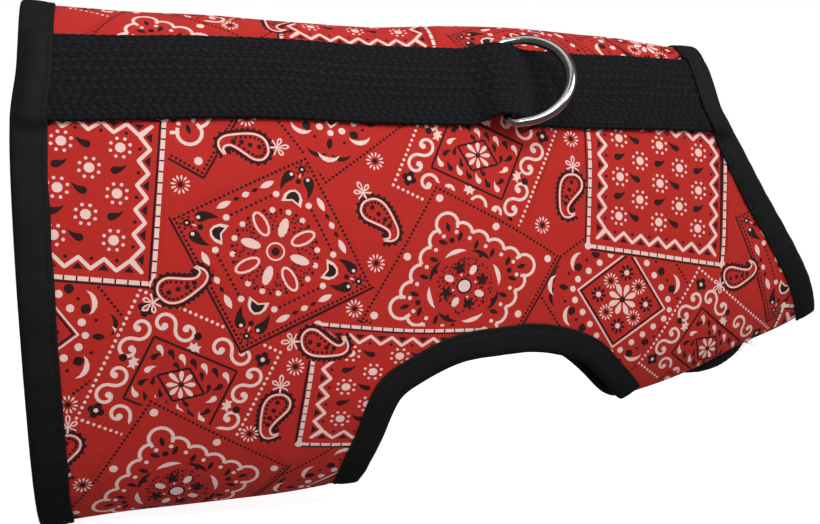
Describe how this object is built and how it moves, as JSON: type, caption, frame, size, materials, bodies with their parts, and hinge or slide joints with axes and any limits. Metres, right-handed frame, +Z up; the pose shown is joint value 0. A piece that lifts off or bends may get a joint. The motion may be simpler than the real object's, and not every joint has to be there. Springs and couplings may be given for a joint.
{
  "type": "cat harness",
  "caption": "Wrap vest harness of printed bandana cotton, filled out and hollow, with black bindings, a webbing back strap and a D-ring.",
  "frame": {"origin": "inside of the top ridge of the back, midway along the harness, where the wearer carries it", "axes": "+Z up as worn, +X towards the neck, -Y towards the side that shows, with the strap and the outer flaps"},
  "size_m": [0.2458, 0.0717, 0.1404],
  "materials": {
    "bandana_cotton": "printed woven cotton, matt",
    "bias_binding": "plain woven cotton, matt",
    "cotton_webbing": "coarse chevron weave, matt",
    "nickelled_steel": "polished nickel plate",
    "hook_tape": "stiff hooked tape",
    "loop_tape": "brushed loop pile"
  },
  "bodies": {
    "harness": {"body_panel": "bandana_cotton", "waist_binding": "bias_binding", "neck_binding": "bias_binding", "armhole_binding_near": "bias_binding", "armhole_binding_far": "bias_binding", "back_strap": "cotton_webbing", "belly_hook_tape": "hook_tape", "chest_hook_tape": "hook_tape", "belly_loop_tape": "loop_tape", "chest_loop_tape": "loop_tape"},
    "ring": {"d_ring": "nickelled_steel"}
  },
  "joints": [
    {"name": "ring_hinge", "type": "hinge", "parent": "harness", "child": "ring", "pos_m": [0.02946, -0.02513, -0.01673], "axis": [-0.0449, -0.4637, -0.8848], "range_deg": [0, 142]}
  ]
}
